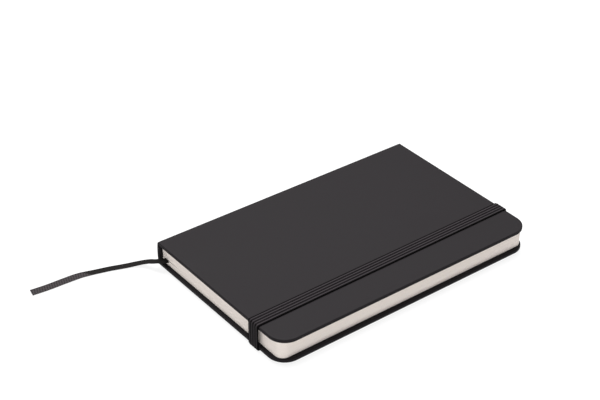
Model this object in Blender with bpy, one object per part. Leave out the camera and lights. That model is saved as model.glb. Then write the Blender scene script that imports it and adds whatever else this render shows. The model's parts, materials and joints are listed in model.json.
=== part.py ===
"""Pocket sketchbook with a hard case, sewn sections, a ribbon marker and an elastic closure.

The book lies closed on its back cover. +X runs from the spine to the fore-edge, +Y from the tail
to the head and +Z up. The origin is under the middle of the book, on the surface that it lies on.
"""

import math

import bmesh
import bpy
from mathutils import Vector

MM = 0.001

# Driving dimensions of the case.
COVER_WIDTH = 90 * MM
COVER_HEIGHT = 140 * MM
BOOK_THICKNESS = 11.9 * MM
CORNER_RADIUS = 8.3 * MM
SKIN = 0.35 * MM
BOARD = 1.0 * MM
SPINE_CARD = 0.6 * MM
GLUE_GAP = 0.05 * MM
TURN_IN = 4.0 * MM
JOINT_GAP = 0.1 * MM
BOARD_FROM_SPINE = 0.15 * MM

# Driving dimensions of the page block.
PAGE_CORNER = 4.0 * MM
PAGE_INSET_ENDS = 1.6 * MM
PAGE_INSET_FORE = 2.0 * MM
FLYLEAF = 0.15 * MM
LEAF = 0.12 * MM
LEAF_GAP = 0.04 * MM
BLOCK_CLEARANCE = 0.05 * MM
REAR_SECTIONS = 3
FRONT_SECTIONS = 7
LINING = 0.15 * MM
THREAD = 0.22 * MM
FOLD_X = 1.7 * MM
SEWING_STATIONS = 4
FIRST_STATION = 10 * MM
THREAD_MARGIN = 0.44 * MM
LINING_INSET = 1.0 * MM
FOLD_ROUNDING = 0.4

# Driving dimensions of the elastic and the ribbon.
ELASTIC_WIDTH = 6.5 * MM
ELASTIC_THICK = 0.7 * MM
ELASTIC_FROM_FORE = 15.2 * MM
ELASTIC_GAP = 0.1 * MM
SLOT_FROM_END = 14.0 * MM
SLOT_PLAY = 0.1 * MM
ELASTIC_BEND = 0.5 * MM
LOOP_START = 1.0 * MM
ANCHOR_TAB = 10 * MM
TAB_DEPTH = 0.02 * MM
TAB_CLEARANCE = 0.04 * MM
TAB_END_PLAY = 0.5 * MM
RIBBON_WIDTH = 3.5 * MM
RIBBON_THICK = 0.22 * MM
RIBBON_X = 5.60 * MM
RIBBON_END_INSIDE = 0.6 * MM
RIBBON_SLANT = 30 * MM
RIBBON_GLUED_INSET = 1.0 * MM
RIBBON_SPACING = 1.5 * MM

# The lines that pieces turn on: the fold where the book opens, inwards from the spine's face, and
# the elastic's pivot, outwards from the middle of the band and down from the back cover.
FOLD_LINE_X = 1.05 * MM
LOOP_PIVOT_OUT = 6.35 * MM
LOOP_PIVOT_DOWN = 0.8 * MM

# The marker's free end, in mm from the spine's tail corner, on the surface that the book lies on.
RIBBON_ROUTE = [
    (5.60, 1.50, 5.11),
    (5.40, 0.60, 5.08),
    (4.45, -0.50, 4.85),
    (2.60, -1.60, 4.20),
    (0.80, -2.55, 3.40),
    (-1.50, -3.55, 2.55),
    (-3.90, -5.35, 1.60),
    (-5.90, -7.90, 0.80),
    (-7.40, -11.00, 0.36),
    (-8.80, -14.60, 0.24),
    (-10.10, -18.20, 0.24),
    (-11.15, -21.80, 0.24),
    (-12.10, -25.20, 0.24),
    (-13.00, -29.10, 0.24),
    (-13.55, -32.40, 0.24),
    (-13.95, -39.90, 0.24),
    (-14.25, -47.50, 0.24),
    (-15.00, -54.65, 0.24),
]

# Worked out from the driving dimensions.
COVER = SKIN + GLUE_GAP + BOARD + GLUE_GAP + SKIN
SPINE_X = -COVER_WIDTH / 2
FORE_X = COVER_WIDTH / 2
TAIL_Y = -COVER_HEIGHT / 2
HEAD_Y = COVER_HEIGHT / 2
BACK_Z = ELASTIC_THICK + ELASTIC_GAP
FRONT_Z = BACK_Z + BOOK_THICKNESS
SPINE = SKIN + GLUE_GAP + SPINE_CARD
BOARD_X = SPINE_X + SPINE + BOARD_FROM_SPINE
PAGE_X = SPINE_X + FOLD_X
PAGE_FORE_X = FORE_X - PAGE_INSET_FORE
PAGE_TAIL_Y = TAIL_Y + PAGE_INSET_ENDS
PAGE_HEAD_Y = HEAD_Y - PAGE_INSET_ENDS
BLOCK_LOW = BACK_Z + COVER + BLOCK_CLEARANCE
BLOCK_HIGH = FRONT_Z - COVER - BLOCK_CLEARANCE
MIDDLE_STACK = RIBBON_THICK + 2 * LEAF + 3 * LEAF_GAP
SECTIONS = REAR_SECTIONS + FRONT_SECTIONS
SECTION_ROOM = BLOCK_HIGH - BLOCK_LOW - 2 * (FLYLEAF + LEAF_GAP) - MIDDLE_STACK
SECTION_PITCH = SECTION_ROOM / SECTIONS
SECTION = SECTION_PITCH - LEAF_GAP
FOLD_RADIUS = SECTION * FOLD_ROUNDING
ELASTIC_X = FORE_X - ELASTIC_FROM_FORE - ELASTIC_WIDTH / 2
BOARD_TOP = BACK_Z + SKIN + GLUE_GAP + BOARD
THREAD_X = BOARD_X + LINING + GLUE_GAP + THREAD / 2

# How a piece is drawn: the steps of a quarter circle, how far a cutter goes past what it cuts, and
# the size of an axis's empty.
ARC_STEPS = 8
OVER = 1.0 * MM
AXIS_SIZE = 10 * MM

# Finishes.
LEATHER = {"colour": (0.046, 0.042, 0.043), "roughness": 0.62}
GREY_BOARD = {"colour": (0.32, 0.29, 0.25), "roughness": 0.9}
ENDPAPER = {"colour": (0.78, 0.75, 0.68), "roughness": 0.85}
PAPER = {"colour": (0.80, 0.76, 0.68), "roughness": 0.85}
LINING_PAPER = {"colour": (0.70, 0.68, 0.63), "roughness": 0.9}
WEBBING = {"colour": (0.02, 0.02, 0.022), "roughness": 0.75}
SATIN = {"colour": (0.055, 0.050, 0.052), "roughness": 0.55}


def clear_scene():
    for obj in list(bpy.data.objects):
        bpy.data.objects.remove(obj, do_unlink=True)


def material(name, colour, roughness):
    made = bpy.data.materials.new(name)
    made.use_nodes = True
    shader = made.node_tree.nodes["Principled BSDF"]
    shader.inputs["Base Color"].default_value = (*colour, 1.0)
    shader.inputs["Roughness"].default_value = roughness
    shader.inputs["Metallic"].default_value = 0.0
    return made


def object_from(name, mesh_builder, colour, roughness):
    """A new object whose bmesh is closed and faces outwards."""
    bmesh.ops.recalc_face_normals(mesh_builder, faces=mesh_builder.faces)
    mesh = bpy.data.meshes.new(name)
    mesh_builder.to_mesh(mesh)
    mesh_builder.free()
    made = bpy.data.objects.new(name, mesh)
    bpy.context.collection.objects.link(made)
    if colour:
        made.data.materials.append(material(name + "_finish", colour, roughness))
    return made


def sheet_outline(x0, x1, y0, y1, radius):
    """Square corners at x0, by the spine, and round corners at x1, by the fore-edge."""
    points = [(x0, y1), (x0, y0)]
    for centre_y, start in ((y0 + radius, -90), (y1 - radius, 0)):
        for step in range(ARC_STEPS + 1):
            angle = math.radians(start + 90 * step / ARC_STEPS)
            points.append(
                (x1 - radius + radius * math.cos(angle), centre_y + radius * math.sin(angle))
            )
    return points


def prism(name, outline, z0, z1, colour=None, roughness=0.8, fold_radius=0.0):
    """The outline, extruded from z0 to z1. A fold_radius rounds the edges by the spine."""
    builder = bmesh.new()
    low = [builder.verts.new((x, y, z0)) for x, y in outline]
    face = builder.faces.new(low)
    grown = bmesh.ops.extrude_face_region(builder, geom=[face])
    high = [v for v in grown["geom"] if isinstance(v, bmesh.types.BMVert)]
    bmesh.ops.translate(builder, verts=high, vec=(0, 0, z1 - z0))
    if fold_radius:
        spine_x = min(x for x, _ in outline)
        folds = [
            edge
            for edge in builder.edges
            if all(abs(v.co.x - spine_x) < 0.01 * MM for v in edge.verts)
            and abs(edge.verts[0].co.z - edge.verts[1].co.z) < 0.01 * MM
        ]
        bmesh.ops.bevel(
            builder, geom=folds, offset=fold_radius, segments=3, profile=0.5, affect="EDGES"
        )
    return object_from(name, builder, colour, roughness)


def box_outline(x0, x1, y0, y1):
    return [(x0, y0), (x1, y0), (x1, y1), (x0, y1)]


def carve(body, cutter):
    """The cutter is kept as a hidden helper, and cuts body through a Boolean modifier."""
    cutter.hide_render = True
    cutter.display_type = "WIRE"
    cut = body.modifiers.new("cut_" + cutter.name, "BOOLEAN")
    cut.operation = "DIFFERENCE"
    cut.object = cutter


def smooth(obj, degrees=30):
    obj.data.shade_smooth()
    obj.data.set_sharp_from_angle(angle=math.radians(degrees))


def strip(name, centreline, wide_of, width, thickness, colour, roughness):
    """A flat band swept along centreline; wide_of(tangent) is the direction of its width."""
    builder = bmesh.new()
    rings = []
    last = len(centreline) - 1
    for index, point in enumerate(centreline):
        tangent = centreline[min(index + 1, last)] - centreline[max(index - 1, 0)]
        wide = wide_of(tangent.normalized())
        thick = tangent.normalized().cross(wide)
        rings.append(
            [
                builder.verts.new(point + wide * width / 2 * a + thick * thickness / 2 * b)
                for a, b in ((-1, -1), (1, -1), (1, 1), (-1, 1))
            ]
        )
    for ring, following in zip(rings, rings[1:]):
        for side in range(4):
            after = (side + 1) % 4
            builder.faces.new((ring[side], ring[after], following[after], following[side]))
    builder.faces.new(rings[0])
    builder.faces.new(reversed(rings[-1]))
    made = object_from(name, builder, colour, roughness)
    smooth(made)
    return made


def across_x(_tangent):
    return Vector((1, 0, 0))


def level(tangent):
    """Horizontal and square to the band's direction."""
    return Vector((tangent.y, -tangent.x, 0)).normalized()


def arc(centre_y, centre_z, radius, start, end, steps=5):
    """Points of a bend in the plane across X, at the elastic's own X."""
    points = []
    for step in range(steps + 1):
        angle = math.radians(start + (end - start) * step / steps)
        points.append(
            Vector(
                (
                    ELASTIC_X,
                    centre_y + radius * math.cos(angle),
                    centre_z + radius * math.sin(angle),
                )
            )
        )
    return points


def smooth_curve(points, spacing):
    """A Catmull-Rom curve through the points, with a point about every spacing."""
    padded = [points[0] * 2 - points[1], *points, points[-1] * 2 - points[-2]]
    out = []
    for a, b, c, d in zip(padded, padded[1:], padded[2:], padded[3:]):
        steps = max(1, round((c - b).length / spacing))
        for step in range(steps):
            t = step / steps
            out.append(
                (
                    b * 2
                    + (c - a) * t
                    + (a * 2 - b * 5 + c * 4 - d) * t**2
                    + (b * 3 - a - c * 3 + d) * t**3
                )
                / 2
            )
    return [*out, points[-1]]


def cover(side, outer_z, up):
    """One hard cover: its skin with three turned-in edges, its board and its pastedown.

    up is 1 for the back cover, whose inner face looks up, and -1 for the front cover.
    """

    def at(depth):
        return outer_z + up * depth

    def layer(name, x0, inset, depth0, depth1, radius, **look):
        z0, z1 = sorted((at(depth0), at(depth1)))
        outline = sheet_outline(x0, FORE_X - inset, TAIL_Y + inset, HEAD_Y - inset, radius)
        return prism(name, outline, z0, z1, **look)

    skin_x = SPINE_X + SKIN + JOINT_GAP
    board_low = SKIN + GLUE_GAP
    board_high = board_low + BOARD
    skin = layer(side + "_cover_skin", skin_x, 0, 0, COVER, CORNER_RADIUS, **LEATHER)
    core = layer(
        side + "_core_cutter", skin_x - OVER, SKIN, SKIN, board_high + GLUE_GAP,
        CORNER_RADIUS - SKIN,
    )
    carve(skin, core)
    opening = layer(
        side + "_opening_cutter", skin_x - OVER, TURN_IN, board_high, COVER + OVER,
        CORNER_RADIUS - TURN_IN,
    )
    carve(skin, opening)
    ends = box_outline(skin_x - OVER, BOARD_X, TAIL_Y - OVER, HEAD_Y + OVER)
    z0, z1 = sorted((at(SKIN), at(COVER + OVER)))
    carve(skin, prism(side + "_spine_side_cutter", ends, z0, z1))
    board_inset = SKIN + GLUE_GAP
    board = layer(
        side + "_board", BOARD_X, board_inset, board_low, board_high,
        CORNER_RADIUS - board_inset, **GREY_BOARD,
    )
    paste_inset = TURN_IN + JOINT_GAP
    layer(
        side + "_pastedown", BOARD_X, paste_inset, board_high + GLUE_GAP, COVER - GLUE_GAP,
        CORNER_RADIUS - paste_inset, **ENDPAPER,
    )
    return skin, board


def slot_cutters(skin, board):
    """The two slots of the back cover that the elastic's ends go through, and their recesses."""
    half_width = ELASTIC_WIDTH / 2 + SLOT_PLAY
    half_slot = ELASTIC_THICK / 2 + SLOT_PLAY
    x0, x1 = ELASTIC_X - half_width, ELASTIC_X + half_width
    for end, sign in (("tail", -1), ("head", 1)):
        centre = sign * (HEAD_Y - SLOT_FROM_END)
        slot = box_outline(x0, x1, centre - half_slot, centre + half_slot)
        through = prism(end + "_slot_cutter", slot, BACK_Z - OVER, BACK_Z + COVER - SKIN)
        carve(skin, through)
        carve(board, through)
        inner = centre - sign * (ANCHOR_TAB + TAB_END_PLAY)
        y0, y1 = sorted((inner, centre + sign * half_slot))
        floor = BOARD_TOP - TAB_DEPTH - ELASTIC_THICK - TAB_CLEARANCE
        recess = prism(
            end + "_recess_cutter", box_outline(x0, x1, y0, y1), floor, floor + OVER
        )
        carve(board, recess)


def elastic():
    """The closure is one woven band. Its ends are fixed in the back cover, and its loop comes off."""
    stand_off = ELASTIC_GAP + ELASTIC_THICK / 2
    leg_low = BACK_Z + LOOP_START
    y = HEAD_Y + stand_off
    loop = [Vector((ELASTIC_X, -y, leg_low))]
    loop += [Vector((ELASTIC_X, -y, leg_low + (FRONT_Z - leg_low) * k / 4)) for k in (1, 2, 3)]
    loop += arc(-HEAD_Y, FRONT_Z, stand_off, 180, 90)
    loop += arc(HEAD_Y, FRONT_Z, stand_off, 90, 0)
    loop += [Vector((ELASTIC_X, y, leg_low + (FRONT_Z - leg_low) * k / 4)) for k in (3, 2, 1, 0)]
    strip("elastic_loop", loop, across_x, ELASTIC_WIDTH, ELASTIC_THICK, **WEBBING)

    bend = ELASTIC_BEND
    tab_z = BOARD_TOP - TAB_DEPTH - ELASTIC_THICK / 2
    under_z = BACK_Z - stand_off
    slot_y = HEAD_Y - SLOT_FROM_END
    inner_end = Vector((ELASTIC_X, slot_y - ANCHOR_TAB, tab_z))
    path = [inner_end]
    path += arc(slot_y - bend, tab_z - bend, bend, 90, 0)
    path += arc(slot_y + bend, under_z + bend, bend, 180, 270)
    path += arc(HEAD_Y, BACK_Z, stand_off, -90, 0)
    path.append(Vector((ELASTIC_X, y, leg_low - JOINT_GAP)))
    for end, sign in (("tail", -1), ("head", 1)):
        mirrored = [Vector((p.x, sign * p.y, p.z)) for p in path]
        strip(
            f"elastic_{end}_anchor", mirrored, across_x, ELASTIC_WIDTH, ELASTIC_THICK, **WEBBING
        )


def spine():
    """The narrow card and skin between the covers."""
    whole = box_outline(SPINE_X, SPINE_X + SPINE, TAIL_Y, HEAD_Y)
    skin = prism("spine_skin", whole, BACK_Z, FRONT_Z, **LEATHER)
    room = box_outline(SPINE_X + SKIN, SPINE_X + SPINE + OVER, TAIL_Y + SKIN, HEAD_Y - SKIN)
    carve(skin, prism("spine_room_cutter", room, BACK_Z - OVER, FRONT_Z + OVER))
    for name, z0, z1 in (
        ("spine_low_end_cutter", BACK_Z - OVER, BACK_Z + SKIN + JOINT_GAP),
        ("spine_high_end_cutter", FRONT_Z - SKIN - JOINT_GAP, FRONT_Z + OVER),
    ):
        ends = box_outline(SPINE_X + SKIN, SPINE_X + SPINE + OVER, TAIL_Y - OVER, HEAD_Y + OVER)
        carve(skin, prism(name, ends, z0, z1))
    card = box_outline(
        SPINE_X + SKIN + GLUE_GAP,
        SPINE_X + SPINE,
        TAIL_Y + SKIN + GLUE_GAP,
        HEAD_Y - SKIN - GLUE_GAP,
    )
    prism(
        "spine_card", card, BACK_Z + SKIN + JOINT_GAP, FRONT_Z - SKIN - JOINT_GAP,
        **GREY_BOARD,
    )


def page_block():
    """Sections of folded leaves from the back up, with the ribbon and two leaves where it opens."""
    outline = sheet_outline(PAGE_X, PAGE_FORE_X, PAGE_TAIL_Y, PAGE_HEAD_Y, PAGE_CORNER)
    z = BLOCK_LOW
    prism("back_flyleaf", outline, z, z + FLYLEAF, **PAPER)
    z += FLYLEAF + LEAF_GAP
    for index in range(REAR_SECTIONS):
        number = SECTIONS - index
        prism(f"section_{number:02d}", outline, z, z + SECTION, fold_radius=FOLD_RADIUS, **PAPER)
        z += SECTION_PITCH
    rear_top = z - LEAF_GAP
    ribbon_z = z + RIBBON_THICK / 2
    z += RIBBON_THICK + LEAF_GAP
    for name in ("leaf_b", "leaf_a"):
        prism(name, outline, z, z + LEAF, **PAPER)
        z += LEAF + LEAF_GAP
    front_low = z
    for index in range(FRONT_SECTIONS):
        number = FRONT_SECTIONS - index
        prism(f"section_{number:02d}", outline, z, z + SECTION, fold_radius=FOLD_RADIUS, **PAPER)
        z += SECTION_PITCH
    prism("front_flyleaf", outline, z, z + FLYLEAF, **PAPER)
    binding("rear", BLOCK_LOW, rear_top)
    binding("front", front_low, z + FLYLEAF)
    return ribbon_z


def binding(half, z0, z1):
    """The paper lining glued over the folds, and the thread that sews the sections through them."""
    low_y, high_y = PAGE_TAIL_Y + LINING_INSET, PAGE_HEAD_Y - LINING_INSET
    outline = box_outline(BOARD_X, BOARD_X + LINING, low_y, high_y)
    prism(half + "_lining", outline, z0, z1, **LINING_PAPER)
    low, high = z0 + THREAD_MARGIN, z1 - THREAD_MARGIN
    first, last = PAGE_TAIL_Y + FIRST_STATION, PAGE_HEAD_Y - FIRST_STATION
    curve = bpy.data.curves.new(half + "_sewing_thread", "CURVE")
    curve.dimensions = "3D"
    curve.bevel_depth = THREAD / 2
    curve.bevel_resolution = 2
    curve.use_fill_caps = True
    route = []
    for station in range(SEWING_STATIONS):
        y = first + (last - first) * station / (SEWING_STATIONS - 1)
        heights = (low, high) if station % 2 == 0 else (high, low)
        route += [(THREAD_X, y, height) for height in heights]
    spline = curve.splines.new("POLY")
    spline.points.add(len(route) - 1)
    for point, place in zip(spline.points, route):
        point.co = (*place, 1.0)
    made = bpy.data.objects.new(half + "_sewing_thread", curve)
    bpy.context.collection.objects.link(made)
    curve.materials.append(material(half + "_thread_finish", (0.75, 0.73, 0.68), 0.8))


def ribbon(inner_z):
    """The marker: a run between the sections, glued at the head, and a free end past the tail."""
    x = SPINE_X + RIBBON_X
    glued_x = PAGE_X + RIBBON_WIDTH / 2 + JOINT_GAP
    inner = [
        Vector((x, PAGE_TAIL_Y + RIBBON_END_INSIDE, inner_z)),
        Vector((x, HEAD_Y - RIBBON_SLANT, inner_z)),
        Vector((glued_x, PAGE_HEAD_Y - RIBBON_GLUED_INSET, inner_z)),
    ]
    strip("ribbon_inner", inner, level, RIBBON_WIDTH, RIBBON_THICK, **SATIN)
    route = [Vector((SPINE_X + px * MM, TAIL_Y + py * MM, pz * MM)) for px, py, pz in RIBBON_ROUTE]
    route[0].z = inner_z
    free = smooth_curve(route, RIBBON_SPACING)
    strip("ribbon_free_end", free, level, RIBBON_WIDTH, RIBBON_THICK, **SATIN)


def hinge_line(name, x, z, *moving):
    """An empty on a hinge's axis, which carries the pieces that turn about it."""
    axis = bpy.data.objects.new(name, None)
    axis.location = (x, 0, z)
    axis.empty_display_size = AXIS_SIZE
    bpy.context.collection.objects.link(axis)
    bpy.context.view_layer.update()
    for piece in moving:
        piece.parent = axis
        piece.matrix_parent_inverse = axis.matrix_world.inverted()
    return axis


def hinges():
    """The lines that the spine, the front cover, the front pages, the leaves and the loop turn on."""
    named = bpy.data.objects
    spine_line = hinge_line(
        "back_joint_line", SPINE_X, BACK_Z, named["spine_skin"], named["spine_card"]
    )
    front = [named["front_" + piece] for piece in ("cover_skin", "board", "pastedown")]
    front_line = hinge_line("front_joint_line", SPINE_X, FRONT_Z, *front)
    front_line.parent = spine_line
    front_line.matrix_parent_inverse = spine_line.matrix_world.inverted()
    pages = [named[f"section_{number + 1:02d}"] for number in range(FRONT_SECTIONS)]
    pages += [named["front_" + piece] for piece in ("flyleaf", "lining", "sewing_thread")]
    fold_x = SPINE_X + FOLD_LINE_X
    fold_z = (BACK_Z + FRONT_Z) / 2
    hinge_line("front_pages_line", fold_x, fold_z, *pages)
    hinge_line("leaf_a_line", fold_x, fold_z, named["leaf_a"])
    hinge_line("leaf_b_line", fold_x, fold_z, named["leaf_b"])
    hinge_line(
        "elastic_line", ELASTIC_X + LOOP_PIVOT_OUT, BACK_Z - LOOP_PIVOT_DOWN, named["elastic_loop"]
    )


def build():
    clear_scene()
    back_skin, back_board = cover("back", BACK_Z, 1)
    slot_cutters(back_skin, back_board)
    cover("front", FRONT_Z, -1)
    spine()
    ribbon(page_block())
    elastic()
    hinges()


build()
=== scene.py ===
"""The looks of the pocket sketchbook: skin, pages, elastic band and ribbon, built around the CAD frame."""

import json
import math
import random

import bmesh
import bpy
from mathutils import Matrix, Vector


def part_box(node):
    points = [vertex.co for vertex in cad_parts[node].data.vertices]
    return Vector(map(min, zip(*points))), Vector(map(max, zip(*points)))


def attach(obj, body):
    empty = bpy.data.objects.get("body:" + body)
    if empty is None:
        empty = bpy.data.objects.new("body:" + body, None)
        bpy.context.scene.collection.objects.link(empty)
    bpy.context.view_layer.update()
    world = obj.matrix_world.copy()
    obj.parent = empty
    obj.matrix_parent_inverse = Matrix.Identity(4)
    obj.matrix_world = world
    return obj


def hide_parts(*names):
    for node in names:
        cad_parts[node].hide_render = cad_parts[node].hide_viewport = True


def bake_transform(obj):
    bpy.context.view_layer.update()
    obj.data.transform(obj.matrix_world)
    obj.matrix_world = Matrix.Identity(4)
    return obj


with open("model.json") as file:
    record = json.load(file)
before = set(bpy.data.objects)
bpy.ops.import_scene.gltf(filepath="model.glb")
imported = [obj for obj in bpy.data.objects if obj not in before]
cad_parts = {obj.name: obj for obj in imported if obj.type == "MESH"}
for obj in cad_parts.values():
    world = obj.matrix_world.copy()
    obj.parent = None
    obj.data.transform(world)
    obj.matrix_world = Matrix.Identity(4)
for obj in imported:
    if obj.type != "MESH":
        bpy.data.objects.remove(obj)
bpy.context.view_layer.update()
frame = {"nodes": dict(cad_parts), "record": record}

MM = 0.001

# Places read from the frame.
BACK_LOW, BACK_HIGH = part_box("back_cover_skin")
FRONT_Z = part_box("front_cover_skin")[1].z
SPINE_LOW, SPINE_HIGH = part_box("spine_skin")
LOOP_LOW, LOOP_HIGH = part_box("elastic_loop")
PAGE_LOW, PAGE_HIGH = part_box("section_10")
RIBBON_FORE_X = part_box("ribbon_inner")[1].x
SPINE_X, FORE_X = SPINE_LOW.x, BACK_HIGH.x
TAIL_Y, HEAD_Y = BACK_LOW.y, BACK_HIGH.y
BACK_Z = BACK_LOW.z
COVER = BACK_HIGH.z - BACK_LOW.z
SPINE = SPINE_HIGH.x - SPINE_LOW.x

# Sizes of the skin.
SKIN = 0.35 * MM
TURN_IN = 4.0 * MM
CORNER_RADIUS = 8.3 * MM
EDGE_RADIUS = 0.45 * MM
INNER_EDGE_RADIUS = 0.50 * MM
EDGE_SINK = 0.03 * MM
FOLD_RADIUS = 0.9 * MM
FOLD_END = 2.4 * MM
SPINE_BULGE = 0.6 * MM
SPINE_END = 0.5 * MM
SPINE_END_LONG = 1.2 * MM
SPINE_STARTS = 2 * MM

# The inside of the fold between cover and spine: mm in from the spine's face and
# from the cover's face. It is thin, because neither the board nor the spine's card reaches into it.
HINGE_INSIDE = [
    (1.9, 1.8), (1.65, 1.74), (1.45, 1.6), (1.25, 1.4), (1.1, 1.25), (0.98, 1.2),
    (0.9, 1.25), (0.86, 1.35), (0.86, 1.5), (0.9, 1.7), (0.97, 1.95), (1.03, 2.25),
]

# Sizes of the pages, the elastic and the ribbon.
LEAVES_PER_SECTION = 8
PAGE_CORNER = 4.0 * MM
LEAF_GROOVE = 0.012 * MM
SECTION_GAP = 0.04 * MM
SECTION_SWELL = SECTION_GAP * 0.45
UNEVEN_SECTION = 0.008 * MM
UNEVEN_LEAF = 0.012 * MM
RISE_START = 0.3 * MM
RISE_LONG = 9 * MM
ELASTIC_RIBS = 4
ELASTIC_WIDTH = 6.5 * MM
ELASTIC_SELVEDGE = 0.45 * MM
ELASTIC_RIB = (ELASTIC_WIDTH - ELASTIC_SELVEDGE) / ELASTIC_RIBS
ELASTIC_PITCH = 1.1 * MM
ELASTIC_LIFT = 0.04 * MM
ELASTIC_GAP = 0.1 * MM
ELASTIC_THICK = LOOP_HIGH.z - FRONT_Z - ELASTIC_GAP
ELASTIC_BEND = 0.5 * MM
ELASTIC_STEP = 0.25 * MM
SLOT_FROM_END = 14 * MM
SLOT_END_DROP = 0.05 * MM
LEAN_MIDDLE = -0.15 * MM
LEAN_AT_HEAD = -0.55 * MM
RIBBON_WIDTH = 3.5 * MM
RIBBON_THICK = 0.2 * MM
CREASE = 38.0 * MM
CREASE_SLANT = 1.0

# How far the ribbon leans about its own line: (mm along it, degrees), and 0 is flat.
RIBBON_LEAN = [(0, 4), (6, 4), (14, 0), (31, 0), (44, 11), (90, 11)]

# The ribbon's free end, in mm from the spine's tail corner, on the floor: as in the CAD source.
RIBBON_ROUTE = [
    (5.60, 1.50, 5.11),
    (5.40, 0.60, 5.08),
    (4.45, -0.50, 4.85),
    (2.60, -1.60, 4.20),
    (0.80, -2.55, 3.40),
    (-1.50, -3.55, 2.55),
    (-3.90, -5.35, 1.60),
    (-5.90, -7.90, 0.80),
    (-7.40, -11.00, 0.36),
    (-8.80, -14.60, 0.24),
    (-10.10, -18.20, 0.24),
    (-11.15, -21.80, 0.24),
    (-12.10, -25.20, 0.24),
    (-13.00, -29.10, 0.24),
    (-13.55, -32.40, 0.24),
    (-13.95, -39.90, 0.24),
    (-14.25, -47.50, 0.24),
    (-15.00, -54.65, 0.24),
]

# The camera: it looks at a point near the spine, from the fore-edge's tail side.
CAMERA_AZIMUTH = 50.48
CAMERA_ELEVATION = 33.30
CAMERA_ROLL = 1.44
CAMERA_DISTANCE = 677.2 * MM
CAMERA_LENS = 85.73
CAMERA_SHIFT = -0.0597
CAMERA_TARGET = Vector((SPINE_X + 7.19 * MM, TAIL_Y + 94.81 * MM, BACK_Z))


# ---------------------------------------------------------------- materials


class Nodes:
    """A short way to write a node tree: except put and set, each method returns a node's output."""

    def __init__(self, name):
        self.material = bpy.data.materials.new(name)
        self.material.use_nodes = True
        self.tree = self.material.node_tree
        self.shader = self.tree.nodes["Principled BSDF"]

    def add(self, kind, settings=None, inputs=None, output=0):
        node = self.tree.nodes.new(kind)
        for key, value in (settings or {}).items():
            setattr(node, key, value)
        for key, value in (inputs or {}).items():
            self.put(node.inputs[key], value)
        return node.outputs[output]

    def put(self, socket, value):
        if isinstance(value, bpy.types.NodeSocket):
            self.tree.links.new(value, socket)
        else:
            socket.default_value = value

    def set(self, name, value):
        self.put(self.shader.inputs[name], value)

    def place(self):
        return self.add("ShaderNodeTexCoord", output="Object")

    def scaled(self, vector, scale):
        return self.add("ShaderNodeMapping", inputs={"Vector": vector, "Scale": scale})

    def noise(self, vector, scale, detail=4.0, rough=0.5):
        return self.add(
            "ShaderNodeTexNoise",
            inputs={"Vector": vector, "Scale": scale, "Detail": detail, "Roughness": rough},
            output="Fac",
        )

    def ramp(self, value, low, high, start=0.0, end=1.0):
        """A number from low to high as value goes from start to end."""
        return self.add(
            "ShaderNodeMapRange",
            inputs={
                "Value": value, "From Min": start, "From Max": end, "To Min": low, "To Max": high
            },
        )

    def maths(self, operation, a, b=0.0):
        return self.add("ShaderNodeMath", {"operation": operation}, {0: a, 1: b})

    def mix(self, factor, a, b):
        node = self.tree.nodes.new("ShaderNodeMix")
        node.data_type = "RGBA"
        self.put(node.inputs["Factor"], factor)
        for key, value in (("A", a), ("B", b)):
            socket = next(s for s in node.inputs if s.name == key and s.type == "RGBA")
            self.put(socket, value)
        return next(s for s in node.outputs if s.type == "RGBA")

    def bump(self, height, distance, strength=1.0, under=None):
        inputs = {"Height": height, "Distance": distance, "Strength": strength}
        if under is not None:
            inputs["Normal"] = under
        return self.add("ShaderNodeBump", inputs=inputs)


def grey(value, warmth=0.0):
    return (value * (1 + warmth), value, value * (1 - warmth), 1.0)


def soft_touch_skin():
    """Matte artificial leather: a very fine pebble grain, and slightly polished in patches."""
    n = Nodes("soft_touch_skin")
    place = n.place()
    broad = n.noise(place, 28.0, 3.0)
    pebble = n.add(
        "ShaderNodeTexVoronoi",
        {"feature": "SMOOTH_F1"},
        {"Vector": place, "Scale": 2600.0, "Smoothness": 0.7},
        "Distance",
    )
    fine = n.noise(place, 5200.0, 2.0)
    tone = n.ramp(broad, 0.0, 1.0, 0.35, 0.65)
    colour = n.mix(tone, (0.0105, 0.0090, 0.0102, 1), (0.0125, 0.0108, 0.0122, 1))
    dust = n.ramp(fine, 0.0, 0.35, 0.55, 0.8)
    n.set("Base Color", n.mix(dust, colour, (0.0166, 0.0145, 0.0162, 1)))
    n.set("Roughness", n.ramp(broad, 0.55, 0.65, 0.3, 0.7))
    n.set("Specular IOR Level", 0.09)
    grain = n.bump(pebble, 0.00003, 0.35)
    n.set("Normal", n.bump(fine, 0.00002, 0.25, grain))
    return n.material


def page_edges():
    """Cut edges of the leaves: thin lines along the block, softer tone bands, and a little dust."""
    n = Nodes("page_edges")
    place = n.place()
    lines = n.noise(n.scaled(place, (9.0, 9.0, 6500.0)), 1.0, 2.0)
    bands = n.noise(n.scaled(place, (5.0, 5.0, 1900.0)), 1.0, 2.0)
    patches = n.noise(place, 60.0, 2.0)
    shade = n.maths("ADD", n.maths("MULTIPLY", lines, 0.35), n.maths("MULTIPLY", bands, 0.65))
    tone = n.ramp(shade, 0.0, 1.0, 0.38, 0.62)
    colour = n.mix(tone, (0.835, 0.76, 0.705, 1), (0.885, 0.81, 0.755, 1))
    n.set("Base Color", n.mix(n.ramp(patches, 0.0, 0.2, 0.4, 0.7), colour, (0.865, 0.79, 0.725, 1)))
    n.set("Roughness", 0.88)
    n.set("Specular IOR Level", 0.2)
    n.set("Normal", n.bump(lines, 0.00002, 0.2))
    return n.material


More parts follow.
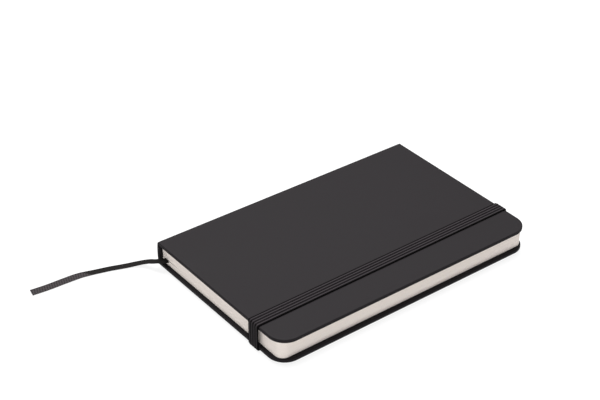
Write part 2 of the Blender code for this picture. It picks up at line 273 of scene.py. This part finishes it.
def drawing_paper(name, colour, flecks):
    """Uncoated paper with a soft tooth and faint fibres; its faces that look up or down carry painted
    shade, about half as bright as its cut edges.
    """
    n = Nodes(name)
    place = n.place()
    tooth = n.noise(place, 2400.0, 3.0, 0.6)
    cloud = n.noise(place, 160.0, 3.0)
    fibre = n.noise(n.scaled(place, (900.0, 260.0, 900.0)), 1.0, 4.0, 0.65)
    darker = tuple(c * flecks for c in colour[:3]) + (1.0,)
    mixed = n.mix(n.ramp(fibre, 0.0, 0.5, 0.5, 0.75), colour, darker)
    face = n.mix(n.ramp(cloud, 0.0, 0.35, 0.4, 0.65), mixed, darker)
    split = n.tree.nodes.new("ShaderNodeSeparateXYZ")
    n.put(split.inputs[0], n.add("ShaderNodeTexCoord", output="Normal"))
    # Painted shade: faces that look up or down take the given colour, about half as bright as the cut
    # edges' colour, because the overhead lamp lights them more.
    flat = n.ramp(n.maths("ABSOLUTE", split.outputs["Z"]), 0.0, 1.0, 0.5, 0.9)
    n.set("Base Color", n.mix(flat, (0.87, 0.80, 0.75, 1.0), face))
    n.set("Roughness", 0.9)
    n.set("Specular IOR Level", 0.2)
    n.set("Normal", n.bump(tooth, 0.00003, 0.35))
    return n.material


def grey_board():
    """Pressed pulp board, with darker and lighter fibres."""
    n = Nodes("grey_board")
    place = n.place()
    pulp = n.noise(n.scaled(place, (1.0, 0.6, 2.4)), 1400.0, 5.0, 0.7)
    n.set("Base Color", n.mix(n.ramp(pulp, 0, 1, 0.35, 0.65), grey(0.20, 0.06), grey(0.36, 0.07)))
    n.set("Roughness", 0.95)
    n.set("Normal", n.bump(pulp, 0.00006, 0.5))
    return n.material


def linen_thread():
    n = Nodes("linen_thread")
    place = n.place()
    ply = n.noise(n.scaled(place, (3000.0, 900.0, 3000.0)), 1.0, 3.0)
    n.set("Base Color", n.mix(n.ramp(ply, 0, 1, 0.35, 0.65), grey(0.5, 0.04), grey(0.75, 0.04)))
    n.set("Roughness", 0.8)
    n.set("Normal", n.bump(ply, 0.00004, 0.6))
    return n.material


def weave_place(n):
    """The woven pieces' own map: across the band and along it, in millimetres."""
    uv = n.add("ShaderNodeUVMap", {"uv_map": "weave"})
    node = n.tree.nodes.new("ShaderNodeSeparateXYZ")
    n.tree.links.new(uv, node.inputs[0])
    return uv, node.outputs["X"], node.outputs["Y"]


def wave(n, value, pitch, offset=0.0):
    """0 to 1 and back, once every pitch."""
    turned = n.maths("MULTIPLY", n.maths("ADD", value, offset), 2 * math.pi / pitch)
    return n.ramp(n.maths("SINE", turned), 0.0, 1.0, -1.0, 1.0)


def elastic_weave():
    """Covered rubber cords: four satin ribs, with painted shade in the grooves between them, darker at
    every stitch, and painted shade along both edges.
    """
    n = Nodes("elastic_weave")
    uv, across, along = weave_place(n)
    first, rib, last = ELASTIC_SELVEDGE / MM, ELASTIC_RIB / MM, ELASTIC_WIDTH / MM
    crown = wave(n, across, rib, -first - rib / 4)
    stitch = wave(n, along, ELASTIC_PITCH / MM)
    yarn = n.noise(n.scaled(uv, (9.0, 3.0, 1.0)), 1.0, 3.0, 0.6)
    slanted = wave(n, n.maths("ADD", along, n.maths("MULTIPLY", across, 0.8)), 0.42)
    # Painted shade: near black in the grooves between the ribs, darker at every stitch, along the
    # spine-side edge, and as a painted shadow line along the fore-side edge.
    groove = n.ramp(crown, 1.0, 0.0, 0.42, 0.92)
    painted_groove_shade = n.maths("MULTIPLY", groove, n.ramp(stitch, 0.86, 1.0))
    painted_groove_shade = n.maths("MAXIMUM", painted_groove_shade, n.ramp(across, 1.0, 0.0, first, first + 0.15))
    painted_groove_shade = n.maths("MAXIMUM", painted_groove_shade, n.ramp(across, 0.0, 0.95, last - 0.5, last - 0.3))
    top = n.mix(n.ramp(yarn, 0, 1, 0.35, 0.65), (0.0245, 0.0215, 0.0236, 1),
                (0.0395, 0.0350, 0.0380, 1))
    n.set("Base Color", n.mix(painted_groove_shade, top, (0.0012, 0.0009, 0.0012, 1)))
    n.set("Roughness", n.ramp(yarn, 0.6, 0.8))
    n.set("Specular IOR Level", 0.04)
    height = n.maths("ADD", n.maths("MULTIPLY", slanted, 0.5), n.maths("MULTIPLY", yarn, 0.5))
    n.set("Normal", n.bump(height, 0.00006, 0.6))
    return n.material


def ribbon_weave():
    """Satin: up to a slanting crease its colour is dark with painted shade, and past it lighter with a
    painted sheen, and ribbed.
    """
    n = Nodes("ribbon_weave")
    uv, across, along = weave_place(n)
    ribs = wave(n, n.maths("ADD", along, n.maths("MULTIPLY", across, 0.25)), 1.15)
    cross = wave(n, n.maths("SUBTRACT", along, n.maths("MULTIPLY", across, 1.4)), 2.3)
    yarn = n.noise(n.scaled(uv, (7.0, 7.0, 1.0)), 1.0, 3.0, 0.6)
    middle = n.maths("SUBTRACT", across, RIBBON_WIDTH / MM / 2)
    crease = n.maths("SUBTRACT", along, n.maths("MULTIPLY", middle, CREASE_SLANT))
    # Painted light: the ribbon is painted in a shaded colour before the crease and in a lit colour with a
    # sheen past it.
    painted_sheen_mask = n.ramp(crease, 0.0, 1.0, CREASE / MM - 0.2, CREASE / MM + 0.2)
    weave = n.maths("ADD", n.maths("MULTIPLY", ribs, 0.7), n.maths("MULTIPLY", cross, 0.3))
    painted_sheen_colour = n.mix(weave, (0.011, 0.0094, 0.0100, 1), (0.049, 0.0425, 0.0450, 1))
    painted_shade_colour = n.mix(yarn, (0.0040, 0.0034, 0.0032, 1), (0.0075, 0.0064, 0.0060, 1))
    colour = n.mix(painted_sheen_mask, painted_shade_colour, painted_sheen_colour)
    selvedge = n.ramp(n.maths("ABSOLUTE", middle), 0, 0.5, 1.5, 1.65)
    n.set("Base Color", n.mix(selvedge, colour, (0.012, 0.0105, 0.011, 1)))
    n.set("Roughness", 0.6)
    n.set("Specular IOR Level", 0.06)
    n.set("Normal", n.bump(weave, 0.00005, 0.5))
    return n.material


def ribbon_inside():
    """The same satin for the run between the pages, which has no map of its own."""
    n = Nodes("ribbon_inner_fabric")
    rows = n.noise(n.scaled(n.place(), (400.0, 5200.0, 400.0)), 1.0, 2.0)
    tone = n.ramp(rows, 0.0, 1.0, 0.35, 0.65)
    n.set("Base Color", n.mix(tone, (0.018, 0.0155, 0.0165, 1), (0.036, 0.0315, 0.0335, 1)))
    n.set("Roughness", 0.6)
    n.set("Specular IOR Level", 0.06)
    n.set("Normal", n.bump(rows, 0.00004, 0.5))
    return n.material


def white_floor():
    """A white table that mostly glows by itself, so that its shadows are pale."""
    n = Nodes("white_floor")
    n.set("Base Color", (0.16, 0.16, 0.16, 1.0))
    n.set("Roughness", 1.0)
    n.set("Specular IOR Level", 0.0)
    n.set("Emission Color", (1.0, 1.0, 1.0, 1.0))
    n.set("Emission Strength", 0.86)
    return n.material


# ---------------------------------------------------------------- mesh helpers


def mesh_object(name, builder, material, smooth_angle=None):
    bmesh.ops.recalc_face_normals(builder, faces=builder.faces)
    mesh = bpy.data.meshes.new(name)
    builder.to_mesh(mesh)
    builder.free()
    made = bpy.data.objects.new(name, mesh)
    bpy.context.scene.collection.objects.link(made)
    mesh.materials.append(material)
    if smooth_angle:
        mesh.shade_smooth()
        mesh.set_sharp_from_angle(angle=math.radians(smooth_angle))
    return made


def join_rings(builder, rings, closed=True):
    """Quads between each ring of vertices and the next."""
    for ring, following in zip(rings, rings[1:]):
        count = len(ring)
        for index in range(count if closed else count - 1):
            after = (index + 1) % count
            builder.faces.new((ring[index], ring[after], following[after], following[index]))


def quarter(centre, radius, start, steps):
    """Points of a quarter circle, from start degrees on."""
    return [
        (
            centre[0] + radius * math.cos(math.radians(start + 90 * k / steps)),
            centre[1] + radius * math.sin(math.radians(start + 90 * k / steps)),
        )
        for k in range(steps + 1)
    ]


def smooth_curve(points, spacing):
    """A Catmull-Rom curve through the points, with a point about every spacing."""
    padded = [points[0] * 2 - points[1], *points, points[-1] * 2 - points[-2]]
    out = []
    for a, b, c, d in zip(padded, padded[1:], padded[2:], padded[3:]):
        steps = max(1, round((c - b).length / spacing))
        for step in range(steps):
            t = step / steps
            cubic = (a * 2 - b * 5 + c * 4 - d) * t**2 + (b * 3 - a - c * 3 + d) * t**3
            out.append((b * 2 + (c - a) * t + cubic) / 2)
    return [*out, points[-1]]


# ---------------------------------------------------------------- the case's skin


def cover_rim(start_x):
    """Points round a cover's tail, fore-edge and head, each with its outward direction."""
    rim = [(Vector((start_x, TAIL_Y)), Vector((0, -1)))]
    corner = FORE_X - CORNER_RADIUS
    for x_step in (0.25, 0.5, 0.75):
        rim.append((Vector((start_x + (corner - start_x) * x_step, TAIL_Y)), Vector((0, -1))))
    for centre_y, start in ((TAIL_Y + CORNER_RADIUS, -90), (HEAD_Y - CORNER_RADIUS, 0)):
        centre = Vector((corner, centre_y))
        for step in range(21):
            angle = math.radians(start + 90 * step / 20)
            out = Vector((math.cos(angle), math.sin(angle)))
            rim.append((centre + out * CORNER_RADIUS, out))
    for x_step in (0.75, 0.5, 0.25):
        rim.append((Vector((start_x + (corner - start_x) * x_step, HEAD_Y)), Vector((0, 1))))
    rim.append((Vector((start_x, HEAD_Y)), Vector((0, 1))))
    return rim


def profile_points():
    """The skin's section at an edge, as (inset, depth), from the outer face to its inside."""
    flat, inner = 3.4 * MM, COVER - SKIN
    points = [(flat, 0.0), (3.0 * MM, 0.0), (1.8 * MM, 0.005 * MM), (1.1 * MM, 0.02 * MM)]
    r = EDGE_RADIUS
    for step in range(9):
        angle = math.radians(90 * step / 8)
        points.append((r - r * math.sin(angle), EDGE_SINK + r - r * math.cos(angle)))
    r = INNER_EDGE_RADIUS
    for step in range(7):
        angle = math.radians(90 * step / 6)
        points.append((r - r * math.cos(angle), COVER - r + r * math.sin(angle)))
    points += [(SPINE_END_LONG, COVER), (SPINE_END_LONG + 0.2 * MM, COVER)]
    points += [(TURN_IN - 0.1 * MM, COVER), (TURN_IN, COVER - 0.08 * MM)]
    points += [(TURN_IN, inner), (SKIN + 0.1 * MM, inner)]
    points += [(SKIN, inner - 0.1 * MM), (SKIN, EDGE_RADIUS)]
    points += [(EDGE_RADIUS + 0.05 * MM, SKIN), (3.0 * MM, SKIN), (flat, SKIN)]
    return points


def fold_stations(middle):
    """(outer point, inner point) of the fold between cover and spine, as x and depth.

    The spine itself stands out a little in its middle.
    """
    outside = [(1.9 * MM, 0.0), (1.4 * MM, 0.0)]
    for step in range(9):
        angle = math.radians(90 * step / 8)
        outside.append((FOLD_RADIUS * (1 - math.sin(angle)), FOLD_RADIUS * (1 - math.cos(angle))))
    outside.append((0.0, 1.6 * MM))
    stations = [(outer, (x * MM, z * MM)) for outer, (x, z) in zip(outside, HINGE_INSIDE)]
    for depth in (2.4 * MM, 3.2 * MM, 4.2 * MM, middle):
        stations.append(((0.0, depth), (SPINE, max(depth, 2.5 * MM))))
    bulged = []
    for (x, depth), inner in stations:
        share = min(1.0, max(0.0, (depth - FOLD_RADIUS / 2) / (middle - FOLD_RADIUS / 2)))
        bulged.append(((x - SPINE_BULGE * share * (2 - share), depth), inner))
    return bulged


def case_skin(name, outer_z, up, material):
    """One cover's skin, folded round the spine as far as the middle of the spine.

    The spine's turned-in ends, past the pages, are thicker than the spine.
    """
    profile = profile_points()
    start_x = SPINE_X + FOLD_END
    rim = cover_rim(start_x)
    builder = bmesh.new()
    rows = []
    for point, out in rim:
        row = []
        for inset, depth in profile:
            place = point - out * inset
            row.append(builder.verts.new((place.x, place.y, outer_z + up * depth)))
        rows.append(row)
    join_rings(builder, rows, closed=False)
    builder.faces.new([row[0] for row in rows])
    builder.faces.new([row[-1] for row in reversed(rows)])
    rings = [rows[0] + rows[-1][::-1]]
    middle = (FRONT_Z - BACK_Z) / 2
    for outer, inner in fold_stations(middle):
        ring = []
        for side in (profile, profile[::-1]):
            for inset, depth in side:
                share = depth / COVER
                at_end = inset <= SPINE_END_LONG and outer[1] > SPINE_STARTS
                inner_x = inner[0] + (SPINE_END if at_end else 0.0)
                x = SPINE_X + outer[0] + (inner_x - outer[0]) * share
                z = outer_z + up * (outer[1] + (inner[1] - outer[1]) * share)
                y = TAIL_Y + inset if side is profile else HEAD_Y - inset
                ring.append(builder.verts.new((x, y, z)))
        rings.append(ring)
    join_rings(builder, rings)
    builder.faces.new(rings[-1])
    return mesh_object(name, builder, material, 35)


# ---------------------------------------------------------------- pages


def page_side(inset):
    """Half of a leaf's outline, along the tail and round the corner.

    Its points are closest together where the leaves rise over the ribbon.
    """
    x0, x1, y0 = PAGE_LOW.x, PAGE_HIGH.x - inset, PAGE_LOW.y + inset
    corner = PAGE_CORNER - inset
    straight = [(x0 + step * MM, y0) for step in (0, 2, 4, 6, 7, 8, 10, 12, 15, 19, 30, 50)]
    return straight + quarter((x1 - corner, y0 + corner), corner, -90, 14)


def section(node, body, leaves, edges, paper, draw):
    """A sewn section or a leaf: the edges stand in and out a little, with a groove between them.

    The leaves of the section under the ribbon rise past the ribbon, the upper ones most, and
    close the gap there.
    """
    low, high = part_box(node)
    bottom, top = low.z - SECTION_SWELL, high.z + SECTION_SWELL
    leaf = (top - bottom) / leaves
    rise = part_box("leaf_b")[0].z - top - SECTION_GAP / 2 if node == "section_08" else 0.0
    base = draw.uniform(0.0, UNEVEN_SECTION)
    builder = bmesh.new()
    rings = []
    for index in range(leaves):
        inset = base + draw.uniform(0.0, UNEVEN_LEAF)
        for share, back in ((0.0, LEAF_GROOVE), (0.16, 0.0), (0.84, 0.0), (1.0, LEAF_GROOVE)):
            if share == 0.0 and index:
                continue
            side = page_side(inset + back)
            ring = []
            for x, y in side + [(x, -y) for x, y in reversed(side)]:
                past = (x - RIBBON_FORE_X - RISE_START) / RISE_LONG
                past = min(1.0, max(0.0, past))
                height = (index + share) / leaves
                lift = rise * height * past * past * (3 - 2 * past)
                z = bottom + (index + share) * leaf + lift
                ring.append(builder.verts.new((x, y, z)))
            rings.append(ring)
    join_rings(builder, rings)
    for ring in (rings[0], rings[-1]):
        for k in range(len(ring) // 2 - 1):
            builder.faces.new((ring[k], ring[k + 1], ring[-2 - k], ring[-1 - k]))
    made = mesh_object("pages_" + node, builder, edges)
    made.data.materials.append(paper)
    for face in made.data.polygons:
        if abs(face.normal.z) > 0.9:
            face.material_index = 1
    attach(made, body)
    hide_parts(node)


# ---------------------------------------------------------------- woven bands


def band(name, rings, material):
    """A closed band. Each ring is a list of (point, across, along), and these make the map."""
    builder = bmesh.new()
    layer = builder.loops.layers.uv.new("weave")
    places, made = {}, []
    for ring in rings:
        made.append([builder.verts.new(point) for point, _, _ in ring])
        for vertex, (_, across, along) in zip(made[-1], ring):
            places[vertex] = (across / MM, along / MM)
    join_rings(builder, made)
    builder.faces.new(made[0])
    builder.faces.new(made[-1])
    for face in builder.faces:
        for loop in face.loops:
            loop[layer].uv = places[loop.vert]
    return mesh_object(name, builder, material, 50)


def elastic_section(distance):
    """Four crowned ribs on each side; the grooves between them get deeper at every stitch."""
    thick = ELASTIC_THICK
    first = ELASTIC_SELVEDGE - ELASTIC_WIDTH / 2
    stitch = 0.5 + 0.5 * math.sin(2 * math.pi * distance / ELASTIC_PITCH)
    groove = thick * (0.38 + 0.14 * stitch)
    face = [(-ELASTIC_WIDTH / 2, thick * 0.15)]
    for index in range(ELASTIC_RIBS):
        for step in range(6):
            t = -1 + step / 3
            if index and step == 0:
                continue
            crown = math.sqrt(max(0.0, 1 - abs(t) ** 2.4))
            dip = groove if index + (t > 0) < ELASTIC_RIBS else thick * 0.3
            up = thick / 2 - dip * (1 - crown)
            face.append((first + (index + 0.5 + t / 2) * ELASTIC_RIB, up))
    face.append((ELASTIC_WIDTH / 2, thick / 2 - thick * 0.3))
    return face + [(across, -up) for across, up in reversed(face)]


def elastic_lean(y):
    """The band lies a little askew: towards the fore-edge at the tail, and the spine at the head."""
    return LEAN_MIDDLE + LEAN_AT_HEAD * y / HEAD_Y


def elastic_rings():
    """The band's rings: out of one slot, round the book, and into the other slot."""
    stand_off = ELASTIC_THICK / 2 + ELASTIC_LIFT
    r = EDGE_RADIUS
    wrap = stand_off + r
    x = (LOOP_LOW.x + LOOP_HIGH.x) / 2
    slot_y = HEAD_Y - SLOT_FROM_END
    slot_z = LOOP_LOW.z - SLOT_END_DROP
    bend = ELASTIC_BEND
    path = []

    def straight(y0, z0, y1, z1, normal):
        length = math.hypot(y1 - y0, z1 - z0)
        count = max(1, round(length / ELASTIC_STEP))
        for k in range(count):
            t = k / count
            path.append((y0 + (y1 - y0) * t, z0 + (z1 - z0) * t, *normal))

    def turn(cy, cz, radius, start, end, count=6):
        for k in range(count):
            angle = math.radians(start + (end - start) * k / count)
            c, s = math.cos(angle), math.sin(angle)
            path.append((cy + radius * c, cz + radius * s, c, s))

    under = BACK_Z - stand_off
    straight(-slot_y, slot_z, -slot_y, under + bend, (-1, 0))
    turn(-slot_y - bend, under + bend, bend, 0, -90)
    straight(-slot_y - bend, under, TAIL_Y + r, under, (0, -1))
    turn(TAIL_Y + r, BACK_Z + r, wrap, -90, -180, 10)
    straight(TAIL_Y - stand_off, BACK_Z + r, TAIL_Y - stand_off, FRONT_Z - r, (-1, 0))
    turn(TAIL_Y + r, FRONT_Z - r, wrap, 180, 90, 10)
    straight(TAIL_Y + r, FRONT_Z + stand_off, HEAD_Y - r, FRONT_Z + stand_off, (0, 1))
    turn(HEAD_Y - r, FRONT_Z - r, wrap, 90, 0, 10)
    straight(HEAD_Y + stand_off, FRONT_Z - r, HEAD_Y + stand_off, BACK_Z + r, (1, 0))
    turn(HEAD_Y - r, BACK_Z + r, wrap, 0, -90, 10)
    straight(HEAD_Y - r, under, slot_y + bend, under, (0, -1))
    turn(slot_y + bend, under + bend, bend, -90, -180)
    straight(slot_y, under + bend, slot_y, slot_z, (-1, 0))
    rings, along, before = [], 0.0, None
    for y, z, out_y, out_z in path:
        under_run = z < BACK_Z and abs(y) < HEAD_Y
        free = max(0.0, (abs(y) - slot_y) / (HEAD_Y - slot_y)) if under_run else 1.0
        centre = Vector((x + min(1.0, free) * elastic_lean(y), y, z))
        along += (centre - before).length if before else 0.0
        before = centre
        rings.append(
            [
                (centre + Vector((across, out_y * up, out_z * up)), across + ELASTIC_WIDTH / 2, along)
                for across, up in elastic_section(along)
            ]
        )
    return rings


# ---------------------------------------------------------------- ribbon


def tilt_at(along):
    """How far the ribbon leans at a distance along it, in radians."""
    for (d0, a0), (d1, a1) in zip(RIBBON_LEAN, RIBBON_LEAN[1:]):
        if along <= d1 * MM:
            t = max(0.0, (along / MM - d0) / (d1 - d0))
            return math.radians(a0 + (a1 - a0) * t * t * (3 - 2 * t))


def ribbon_line():
    corner = Vector((SPINE_X, TAIL_Y, 0.0))
    return smooth_curve([corner + Vector(p) * MM for p in RIBBON_ROUTE], 0.7 * MM)


def ribbon_rings(line):
    """The ribbon's rings; the lean changes on the same slant as the crease between its painted shade and
    its painted sheen.
    """
    rings = []
    last = len(line) - 1
    along = 0.0
    for index, point in enumerate(line):
        if index:
            along += (point - line[index - 1]).length
        tangent = (line[min(index + 1, last)] - line[max(index - 1, 0)]).normalized()
        wide = Vector((tangent.y, -tangent.x, 0)).normalized()
        up = wide.cross(tangent)
        top, under = [], []
        for step in range(15):
            t = -1 + step / 7
            across = t * RIBBON_WIDTH / 2
            lean = tilt_at(along - across * CREASE_SLANT)
            thick = RIBBON_THICK / 2 * (0.4 if abs(t) == 1 else 1.2 if abs(t) > 0.8 else 1.0)
            lift = abs(math.sin(lean)) * RIBBON_WIDTH / 2
            middle = point + wide * across * math.cos(lean)
            middle += up * (across * math.sin(lean) + lift)
            top.append((middle + up * thick, across + RIBBON_WIDTH / 2, along))
            under.append((middle - up * thick, across + RIBBON_WIDTH / 2, along))
        rings.append(top + under[::-1])
    return rings


# ---------------------------------------------------------------- build


def build_case():
    skin = soft_touch_skin()
    back = case_skin("case_skin_back", BACK_Z, 1, skin)
    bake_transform(back)
    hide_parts("back_cover_skin", "spine_skin")
    front = case_skin("case_skin_front", FRONT_Z, -1, skin)
    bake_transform(front)
    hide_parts("front_cover_skin")


def build_pages():
    edges = page_edges()
    # The paper colours given here are face colours with painted shade in them, about half as bright as the
    # cut edges.
    paper = drawing_paper("drawing_paper", (0.43, 0.41, 0.375, 1.0), 0.93)
    draw = random.Random(7)
    bodies = frame["record"]["behaviour"]["bodies"]
    for body in ("front_pages", "back"):
        for node in bodies[body]:
            if node.startswith("section_"):
                section(node, body, LEAVES_PER_SECTION, edges, paper, draw)
    for node in ("leaf_a", "leaf_b"):
        section(node, node, 1, edges, paper, draw)
    endpaper = drawing_paper("endpaper", (0.41, 0.39, 0.35, 1.0), 0.9)
    for node in ("front_pastedown", "back_pastedown", "front_flyleaf", "back_flyleaf"):
        dress(node, endpaper)
    lining = drawing_paper("lining_paper", (0.42, 0.40, 0.37, 1.0), 0.82)
    for node in ("front_lining", "rear_lining"):
        dress(node, lining)


def dress(node, material):
    """A CAD node keeps its shape and gets this material."""
    mesh = frame["nodes"][node].data
    mesh.materials.clear()
    mesh.materials.append(material)


def build_elastic():
    made = band("elastic_band", elastic_rings(), elastic_weave())
    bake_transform(made)
    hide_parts("elastic_loop", "elastic_tail_anchor", "elastic_head_anchor")


def build_ribbon():
    material = ribbon_weave()
    rings = ribbon_rings(ribbon_line())
    made = band("ribbon_marker", rings, material)
    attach(made, "back")
    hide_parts("ribbon_free_end")
    dress("ribbon_inner", ribbon_inside())


def build_studio():
    scene = bpy.context.scene
    scene.view_settings.view_transform = "Standard"
    world = bpy.data.worlds.new("studio")
    scene.world = world
    world.use_nodes = True
    backdrop = world.node_tree.nodes["Background"]
    backdrop.inputs["Color"].default_value = (1.0, 1.0, 1.0, 1.0)
    backdrop.inputs["Strength"].default_value = 0.35
    for name, place, size, power, colour in (
        ("overhead", (-0.36, 0.12, 1.0), 0.9, 25.0, (1.0, 0.985, 0.985)),
        ("tail_side", (0.65, -0.7, 0.45), 0.6, 2.4, (0.96, 0.98, 1.0)),
    ):
        data = bpy.data.lights.new(name, "AREA")
        data.size = size
        data.energy = power
        data.color = colour
        lamp = bpy.data.objects.new(name, data)
        lamp.location = place
        lamp.rotation_euler = (-Vector(place)).to_track_quat("-Z", "Y").to_euler()
        scene.collection.objects.link(lamp)
    builder = bmesh.new()
    bmesh.ops.create_grid(builder, x_segments=1, y_segments=1, size=3.0)
    floor = mesh_object("floor", builder, white_floor())
    floor.location.z = -0.0001


def build_camera():
    azimuth, elevation = math.radians(CAMERA_AZIMUTH), math.radians(CAMERA_ELEVATION)
    back = Vector(
        (
            math.sin(azimuth) * math.cos(elevation),
            -math.cos(azimuth) * math.cos(elevation),
            math.sin(elevation),
        )
    )
    data = bpy.data.cameras.new("camera")
    data.lens = CAMERA_LENS
    data.sensor_width = 36.0
    data.shift_x = CAMERA_SHIFT
    data.clip_start = 0.01
    camera = bpy.data.objects.new("camera", data)
    roll = Matrix.Rotation(math.radians(CAMERA_ROLL), 4, "Z")
    turn = back.to_track_quat("Z", "Y").to_matrix().to_4x4() @ roll
    camera.matrix_world = Matrix.Translation(CAMERA_TARGET + back * CAMERA_DISTANCE) @ turn
    bpy.context.scene.collection.objects.link(camera)
    bpy.context.scene.camera = camera


build_camera()
build_studio()
build_case()
build_pages()
build_elastic()
build_ribbon()
board = grey_board()
for node in ("back_board", "front_board", "spine_card"):
    dress(node, board)
thread = linen_thread()
for node in ("front_sewing_thread", "rear_sewing_thread"):
    dress(node, thread)
